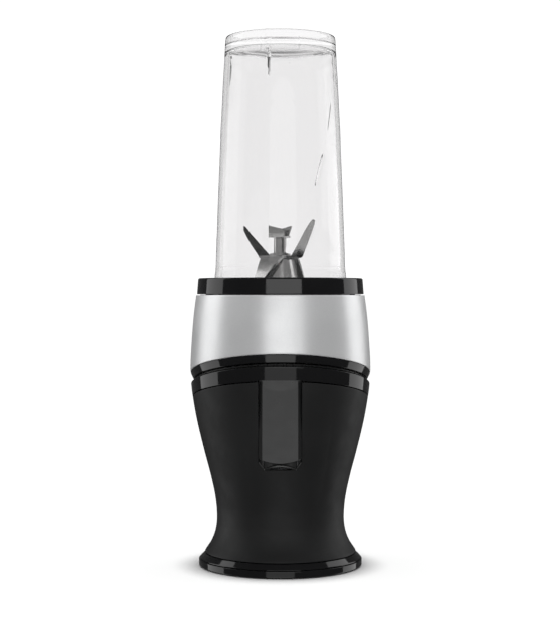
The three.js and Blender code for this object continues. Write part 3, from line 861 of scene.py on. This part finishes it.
def splines(grow=0.0):
    """Outline of the drive's eight splines; the socket's is larger all round by grow."""
    count = 8
    points = []
    for k in range(count):
        for r, degrees in ((6.4, -10.5), (8.2, -6.5), (8.2, 6.5), (6.4, 10.5)):
            wider = math.copysign(grow / r, degrees)
            angle = math.radians(degrees + k * 360 / count) + wider
            points.append(((r + grow) * math.cos(angle), (r + grow) * math.sin(angle)))
    return points


def couplings():
    hub = [(0, 129.5), (15, 129.5, 0.4), (15, 131, 0.4), (9, 131.8, 0.6), (0, 131.8)]
    drive = lathe("fine_drive_coupling", rounded(hub, 0.3), 96)
    teeth = soften(prism("teeth", splines(), 131, 140), 0.35)
    bore = lathe("bore", [(0, 120), (4.2, 120), (4.2, 138.4), (0, 138.4)], 48)
    join(drive, teeth)
    stand_for(cut(drive, bore), "drive_coupling")

    body = [(0, 136.5), (12.4, 136.5, 0.5), (13, 138, 0.5), (13, 147, 1.0), (11, 149, 0.8), (0, 149)]
    driven = lathe("fine_driven_coupling", rounded(body, 0.3), 96)
    socket = prism("socket", splines(0.45), 130, 144.5)
    bore = lathe("bore", [(0, 140), (4.2, 140), (4.2, 155), (0, 155)], 48)
    stand_for(cut(driven, socket, bore), "driven_coupling")


# ---- the blade unit ----
def thread_height(angle, z, start):
    """Height of a point above the nearest turn of a thread, and how far along its sweep that turn is."""
    best = np.full_like(z, 99.0)
    for turn in (-1, 0, 1):
        swept = np.degrees(angle) + 360 * turn
        inside = (swept >= -8) & (swept <= THREAD_SWEEP + 8)
        gap = z - (start + THREAD_PITCH * swept / 360)
        fade = np.clip(np.minimum(swept + 8, THREAD_SWEEP + 8 - swept) / 14, 0, 1)
        gap = np.where(inside, gap / np.maximum(fade, 0.05), 99)
        best = np.where(np.abs(gap) < np.abs(best), gap, best)
    return best


def bead(gap):
    """Rounded thread section: 1 at its crest and 0 away from it."""
    half = THREAD_BEAD * 1.15
    crest = np.cos(np.clip(gap / half, -1, 1) * np.pi / 2) ** 1.3
    return np.where(np.abs(gap) < half, crest, 0)


def blade_base():
    bore_heights = np.linspace(UNIT_TOP - 1.2, UNIT_FLOOR + 1.2, 60)
    profile = [
        (40, UNIT_LOW), (UNIT_R, UNIT_LOW, 0.8), (UNIT_R, UNIT_TOP, 1.0), (UNIT_BORE, UNIT_TOP, 0.6),
        *((UNIT_BORE, z) for z in bore_heights),
        (UNIT_BORE, UNIT_FLOOR, 0.6), (9.7, UNIT_FLOOR), (9.7, 152.5), (40, 152.5, 0.8),
    ]

    def threaded(r, angle, z):
        bore = (np.abs(r - UNIT_BORE) < 0.05) & (z < UNIT_TOP - 1) & (z > UNIT_FLOOR + 1)
        return r - np.where(bore, 1.5 * bead(thread_height(angle, z, 163.5)), 0), z
    body = lathe("fine_blade_base", rounded(profile, 0.3), 216, threaded)
    keys = key_blocks(KEY_R, KEY_WIDTH, 158, 170, 0.6)
    join(body, *keys)
    stand_for(body, "blade_base")

    gasket = [
        (38.8, 155.5), (43.2, 155.5), (43.2, 157.2), (41.6, 156.9, 0.2), (40.4, 157.2, 0.2), (38.8, 157.2),
    ]
    stand_for(lathe("fine_cup_gasket", rounded(gasket, 0.4), 160), "cup_gasket")


def bearing_hub():
    floor = UNIT_FLOOR + 0.3
    cone = [
        (7.3, UNIT_LOW), (9.3, UNIT_LOW), (9.3, 186), (10.8, 186), (20.4, floor), (22, floor, 0.5),
        (21.4, 157.5, 3), (15.0, 178.4, 8), (11.2, HUB_TOP - 0.5, 0.5), (10.6, HUB_TOP, 0.3), (7.3, HUB_TOP),
    ]
    stand_for(lathe("fine_bearing_hub", rounded(cone, 0.3, 8), 144), "bearing_hub")
    seal_top = HUB_TOP - 0.4
    seal = [(4.35, 184.4), (7, 184.4), (7, seal_top), (5.4, seal_top, 0.3), (4.35, seal_top - 0.8, 0.2)]
    stand_for(lathe("fine_shaft_seal", rounded(seal, 0.2), 64), "shaft_seal")


# ---- the cup ----
def wall_ribs(angle, z):
    """How far the ribs stand in from the cup's bore."""
    front = -np.pi / 2
    total = np.zeros_like(z)

    def rib(centre, width, depth, low, high, ramp):
        offset = (angle - centre + np.pi) % (2 * np.pi) - np.pi
        across = np.clip(np.abs(offset) * 37 / (width / 2), 0, 1)
        along = ease((z - low) / ramp) * ease((high - z) / ramp)
        return depth * along * (1 - ease(across))
    sweep = front + np.radians(4 + 58 * np.clip((z - 190) / 95, 0, 1) ** 0.75)
    total += rib(sweep, 4.0, 1.5, 229, 257, 12)
    total += rib(sweep - np.radians(1.5), 7.5, 0.12, 184, 262, 16)
    total += rib(sweep, 1.8, 0.25, 264, 288, 8)
    total += rib(front - np.radians(29.5), 1.6, 0.02, 183, 304, 6)
    total += rib(front + np.radians(-5 + 8 * (265 - z) / 54), 3, 0.05, 214, 272, 10)
    fin = 1.0 + 2.6 * np.clip((z - 298) / 24, 0, 1)
    for turn in (0, 90, 180, 270):
        total += rib(front - np.radians(11.5 + turn), fin, 2.2 if turn == 0 else 1.0, 297, 330, 9)
    return total


def end_pocket(angle, z):
    """How far the pocket in the closed end's skirt is pressed in from the outside, less its standing fin."""
    front = -np.pi / 2
    across = ((angle - front + np.pi) % (2 * np.pi) - np.pi) * 34.3
    inside = ease((12.05 - np.abs(across + 0.2)) / 0.55) * ease((z - 314.8) / 0.6) * ease((325.9 - z) / 0.6)
    width = 0.4 + 1.4 * np.clip((z - 297) / 24, 0, 1)
    fin = ease(1.3 - np.abs(across + 34.3 * math.radians(12.4)) / width) * ease((z - 297) / 12)
    return 1.5 * inside * (1 - fin) - 0.45 * fin


def cup():
    skin = np.array([
        (THREAD_R, CUP_MOUTH), (THREAD_R, 172), (40.95, 180), (40.35, 184.5), (40.1, 195), (39.5, 210),
        (39.0, 225), (38.4, 240), (37.8, 255), (37.3, 270), (36.5, 285), (35.8, 300), (34.9, 315),
        (34.35, 326), (34.0, HEIGHT),
    ])
    wall = 2.4
    skirt = 31.6

    def skin_r(z):
        return np.interp(z, skin[:, 1], skin[:, 0])
    stretches = (159, 170, 44), (172, 312, 84), (313.2, 326.2, 44)
    outer_z = np.concatenate([np.linspace(*stretch) for stretch in stretches])
    outer = [(THREAD_R, CUP_MOUTH, 0.6), *((float(skin_r(z)), z, 0) for z in outer_z)]
    rim = [(33.9, HEIGHT, 1.7), (skirt, HEIGHT, 0.9), (skirt - 0.7, 322.6, 1.2), (0, 322.6)]
    bore = [(float(skin_r(z)) - wall, z, 0) for z in np.linspace(311, 172, 120)]
    loop = [(0, 322.6), *rim[2::-1], *outer[::-1], (38.8, CUP_MOUTH, 0.6), (38.8, 168), *bore[::-1]]
    loop += [(32.4, 319.4, 9.0), (0, 319.4)]

    def shaped(r, angle, z):
        on_thread = (z > 158.5) & (z < 171) & (np.abs(r - THREAD_R) < 0.05)
        on_skin = (z > 290) & (r > skirt + 1.0)
        on_bore = (np.abs(r - (skin_r(z) - wall)) < 0.08) & (z < 317) & (z > 173)
        r = r + np.where(on_thread, 1.65 * bead(thread_height(angle, z, 161)), 0)
        r = r - np.where(on_skin, end_pocket(angle, z), 0)
        return r - np.where(on_bore, wall_ribs(angle, z), 0), z
    stand_for(lathe("fine_cup", rounded(loop, 0.4, 6), 640, shaped), "cup")


# ---- the blades ----
def sheet_arm(name, edges, root, reach, slope, heading, bend=2.2, bevel=(1, 2.2), under=False, curl=0.0):
    """One arm of a stamped blade. edges are its [along, left, right] stations past the bend.

    The bevel is ground on one edge of its upper face, or of its under face. curl is how many degrees steeper
    the arm's end is than its start.
    """
    beta = math.radians(slope)
    arc = abs(beta) * bend
    along = [-root] + list(np.linspace(0, arc, 7)) + [arc + s for s in np.linspace(0.4, edges[-1][0], 26)]
    s_known, lefts, rights = (np.array(column, float) for column in zip(*edges))
    side, ground = bevel
    sign = math.copysign(1, beta)
    bend_end = (reach + bend * math.sin(abs(beta)), sign * bend * (1 - math.cos(beta)))
    sections = []
    for s in along:
        past = s if s < 0 else max(0.0, s - arc)
        left, right = np.interp(past, s_known, lefts), np.interp(past, s_known, rights)
        if s <= 0:
            x, z, tilt = reach + s, 0.0, 0.0
        elif s <= arc:
            tilt = beta * s / arc
            x, z = reach + bend * math.sin(abs(tilt)), sign * bend * (1 - math.cos(tilt))
        else:
            turned = math.radians(curl) * past / edges[-1][0]
            tilt = beta + sign * turned
            x = bend_end[0] + past * math.cos(beta + sign * turned / 2)
            z = bend_end[1] + past * math.sin(beta + sign * turned / 2)
        width = right - left
        depth = min(ground * float(ease(s / arc if s > 0 else 0)), width * 0.7)
        edge = right if side > 0 else left
        inner = edge - side * depth
        lift = BLADE_THICK / 2
        keen = 0.15 + (lift - 0.15) * (1 - float(ease(s / arc if s > 0 else 0)))
        keen_top = (edge, -lift + 2 * keen)
        if side > 0:
            ring = [(left, lift), (inner, lift), keen_top, (edge, -lift), (inner, -lift), (left, -lift)]
        else:
            ring = [keen_top, (inner, lift), (right, lift), (right, -lift), (inner, -lift), (edge, -lift)]
        rows = []
        for t, h in ring:
            h = -h if under else h
            rows.append((x - h * math.sin(tilt), t, z + h * math.cos(tilt)))
        sections.append(rows)
    made = loft(name, sections)
    return moved(made, z=BLADE_Z + BLADE_THICK / 2, turn=heading)


def blades():
    steep = [
        (-9, -4.5, 4.5), (0, -6, 4.8), (15.2, -1.9, 5.0), (20.8, 0.9, 4.6), (22.6, 1.9, 4.0), (23.4, 2.9, 3.3),
    ]
    flatter = [(-9, -4.5, 4.5), (0, -6.3, 6.3), (15, -2.2, 6.1), (21, -0.5, 4.6), (24.4, 0.5, 1.4)]
    falling = [
        (-9, -4, 3), (-3, -5, 7), (0, -5.7, 9.2), (12.6, -6.9, 1.1), (20, -7.6, -4.0), (21.5, -7.2, -6),
    ]
    top = BLADE_Z + BLADE_THICK
    disc = [(2.9, BLADE_Z), (9.6, BLADE_Z), (9.6, top), (2.9, top)]
    plate = lathe("fine_lower_blade", rounded(disc, 0.25), 72)
    arms = [
        sheet_arm("arm", steep, 9, 11.4, 66, 325, bevel=(-1, 2.6), under=True),
        sheet_arm("arm", flatter, 9, 10.8, 50, 145, bevel=(1, 2.4), under=True),
        sheet_arm("arm", falling, 9, 11.4, -64, 240, bevel=(1, 1.0), curl=14),
        sheet_arm("arm", falling, 9, 11.4, -64, 60, bevel=(1, 1.0), curl=14),
    ]
    bore = lathe("bore", [(0, 180), (2.9, 180), (2.9, 200), (0, 200)], 48)
    cut(join(plate, *arms), bore)
    smooth(plate, 20)
    stand_for(plate, "lower_blade")

    low = BLADE_Z + BLADE_THICK + 0.3
    post = [
        (2.9, low), (6.3, low, 0.3), (6.3, 193.9, 0.3), (3.95, 194.3, 0.2), (3.95, SPACER_TOP, 0.3),
        (2.9, SPACER_TOP),
    ]
    spacer = lathe("fine_blade_spacer", rounded(post, 0.2), 64)
    stand_for(spacer, "blade_spacer", MATERIALS["hub_steel"])

    shaft = [
        (0, 144.8), (4, 144.8, 0.3), (4, BLADE_Z - 0.3), (2.6, BLADE_Z - 0.3), (2.6, 205.4),
        (3.6, 205.4, 0.2), (3.2, 206.9, 0.5), (0, 207.2),
    ]
    stand_for(lathe("fine_blade_shaft", rounded(shaft, 0.15), 48), "blade_shaft")


def upper_blade():
    """The small blade on top: a strip whose two ends are bent straight up."""
    low = SPACER_TOP + 0.3
    thick = 1.2
    strip = box("fine_upper_blade", (0, 0, low + thick / 2), (11.4, 9, thick), 0.15)
    moved(strip, turn=245)
    near = [(-5.1, 0), (5.1, 0), (5.1, 5.2), (2.0, 5.7), (-2.0, 6.7), (-5.1, 7.5)]
    far = [(-3.0, 0), (5.1, 0), (5.1, 5.2), (2.0, 5.7), (-2.0, 6.7), (-5.3, 7.5), (-5.2, 6.2), (-4.2, 3.6)]
    fins = []
    for heading, wing in ((245, near), (65, far)):
        fin = prism("fin", wing, -thick / 2, thick / 2)
        fin.data.transform(Matrix.Rotation(math.pi / 2, 4, "Z") @ Matrix.Rotation(math.pi / 2, 4, "X"))
        soften(fin, 0.2)
        fins.append(moved(fin, 5.6, 0, low, turn=heading))
    bore = lathe("bore", [(0, 195), (2.9, 195), (2.9, 215), (0, 215)], 40)
    cut(join(strip, *fins), bore)
    stand_for(strip, "upper_blade")


# ---- CAD nodes that keep their shape ----
def carried_over():
    """The motor and the hidden pieces: their CAD meshes with softened edges and their own materials."""
    special = {"armature_core": "motor_iron", "commutator": "copper_wire"}
    for name, obj in frame["nodes"].items():
        if obj.hide_render or obj.get("replaced"):
            continue
        obj.data.materials.clear()
        obj.data.materials.append(MATERIALS[special.get(name, SLOT_OF[name])])
        obj.data.polygons.foreach_set("use_smooth", [True] * len(obj.data.polygons))
        obj.data.set_sharp_from_angle(angle=math.radians(32))
        bevel = obj.modifiers.new("soften", "BEVEL")
        bevel.width = 0.25 * MM
        bevel.segments = 2
        bevel.limit_method = "ANGLE"
        bevel.angle_limit = math.radians(40)


# ---- the studio ----
def softbox(name, azimuth, distance, width, low, high, strength):
    """A tall soft light that faces the object."""
    light = bpy.data.lights.new(name, "AREA")
    light.shape = "RECTANGLE"
    light.size = width
    light.size_y = high - low
    light.energy = strength * width * (high - low) * math.pi
    obj = bpy.data.objects.new(name, light)
    a = math.radians(azimuth)
    obj.location = (distance * math.sin(a), -distance * math.cos(a), (low + high) / 2)
    aim = Vector((-obj.location.x, -obj.location.y, 0))
    obj.rotation_euler = aim.to_track_quat("-Z", "Y").to_euler()
    obj.visible_transmission = False
    bpy.context.scene.collection.objects.link(obj)


def studio():
    for lamp in SOFTBOXES:
        softbox(*lamp)

    sun = bpy.data.lights.new("light_above", "SUN")
    sun.energy = SUN_POWER
    sun.angle = math.radians(SUN_ANGLE)
    above = bpy.data.objects.new("light_above", sun)
    above.visible_glossy = False
    above.visible_transmission = False
    bpy.context.scene.collection.objects.link(above)

    floor = bpy.data.meshes.new("floor")
    far = FLOOR_REACH
    floor.from_pydata([(-far, -far, 0), (far, -far, 0), (far, far, 0), (-far, far, 0)], [], [(0, 1, 2, 3)])
    ground = bpy.data.objects.new("floor", floor)
    bpy.context.scene.collection.objects.link(ground)
    ground.visible_glossy = False
    ground.visible_diffuse = False
    pale = Finish("pale_floor", (0.34, 0.34, 0.34), 0.9, Specular_IOR_Level=0.0)
    pale.tint(pale.noise(180, 2), [(0.337, 0.337, 0.337), (0.343, 0.343, 0.343)])
    ground.data.materials.append(pale.material)

    world = bpy.data.worlds.new("studio")
    bpy.context.scene.world = world
    world.use_nodes = True
    tree = world.node_tree
    path = tree.nodes.new("ShaderNodeLightPath")
    heading = tree.nodes.new("ShaderNodeSeparateXYZ")
    tree.links.new(tree.nodes.new("ShaderNodeTexCoord").outputs["Generated"], heading.inputs["Vector"])

    def ramp(source, from_low, from_high, to_low, to_high):
        made = tree.nodes.new("ShaderNodeMapRange")
        for socket, value in zip(RANGE_SOCKETS, (from_low, from_high, to_low, to_high)):
            if isinstance(value, float):
                made.inputs[socket].default_value = value
            else:
                tree.links.new(value, made.inputs[socket])
        tree.links.new(source, made.inputs["Value"])
        return made.outputs["Result"]

    def combined(kind, first, second):
        made = tree.nodes.new("ShaderNodeMath")
        made.operation = kind
        for value, socket in ((first, made.inputs[0]), (second, made.inputs[1])):
            if isinstance(value, float):
                socket.default_value = value
            else:
                tree.links.new(value, socket)
        return made.outputs["Value"]

    def profile(source, stations):
        """A level that follows its stations of [position, level]."""
        start, end = stations[0][0], stations[-1][0]
        highest = max(level for _, level in stations)
        made = tree.nodes.new("ShaderNodeFloatCurve")
        curve = made.mapping.curves[0]
        spots = [((at - start) / (end - start), level / highest) for at, level in stations]
        curve.points[0].location = spots[0]
        curve.points[-1].location = spots[-1]
        for spot in spots[1:-1]:
            curve.points.new(*spot)
        for point in curve.points:
            point.handle_type = "VECTOR"
        made.mapping.update()
        tree.links.new(ramp(source, float(start), float(end), 0.0, 1.0), made.inputs["Value"])
        return combined("MULTIPLY", made.outputs["Value"], highest)
    turn = combined("ARCTAN2", heading.outputs["X"], combined("MULTIPLY", heading.outputs["Y"], -1.0))
    degrees = combined("MULTIPLY", turn, 180 / math.pi)
    band = combined("MULTIPLY", profile(degrees, LEFT_BAND), profile(heading.outputs["Z"], LEFT_BAND_HEIGHTS))
    raised = combined("ADD", profile(degrees, RAISED_STRIPS), band)
    upper = ramp(heading.outputs["Z"], *LEVEL_TO_RAISED, profile(degrees, LEVEL_STRIPS), raised)
    below = ramp(heading.outputs["Y"], 0.05, 0.35, BELOW_FRONT, BELOW_BACK)
    inner = ramp(heading.outputs["Z"], *BELOW_TO_LEVEL, below, upper)
    in_wall = ramp(path.outputs["Glossy Depth"], 1.0, 2.0, CUP_LEVEL, CUP_DEEP_LEVEL)
    through = ramp(path.outputs["Transmission Depth"], 3.0, 4.0, in_wall, inner)
    mirrored = ramp(path.outputs["Transmission Depth"], 0.0, 1.0, DIM_GLOSS, through)
    tree.links.new(ramp(path.outputs["Glossy Depth"], 0.0, 1.0, WORLD_LEVEL, mirrored),
                   tree.nodes["Background"].inputs["Strength"])
    tree.nodes["Background"].inputs["Color"].default_value = (1, 1, 1, 1)
    world.cycles.sampling_method = "NONE"


def camera():
    data = bpy.data.cameras.new("camera")
    data.lens = LENS
    data.sensor_width = 36
    obj = bpy.data.objects.new("camera", data)
    obj.location = (-0.0002, -CAMERA_DISTANCE, CAMERA_HEIGHT)
    obj.rotation_euler = (math.radians(90 - CAMERA_PITCH), 0, 0)
    bpy.context.scene.collection.objects.link(obj)
    bpy.context.scene.camera = obj


camera()
housing_shell()
front_panel()
split_rings()
silver_collar()
top_rim()
foot()
well()
interlock_springs()
couplings()
blade_base()
bearing_hub()
cup()
blades()
upper_blade()
carried_over()
studio()
bpy.context.scene.view_settings.view_transform = "Standard"
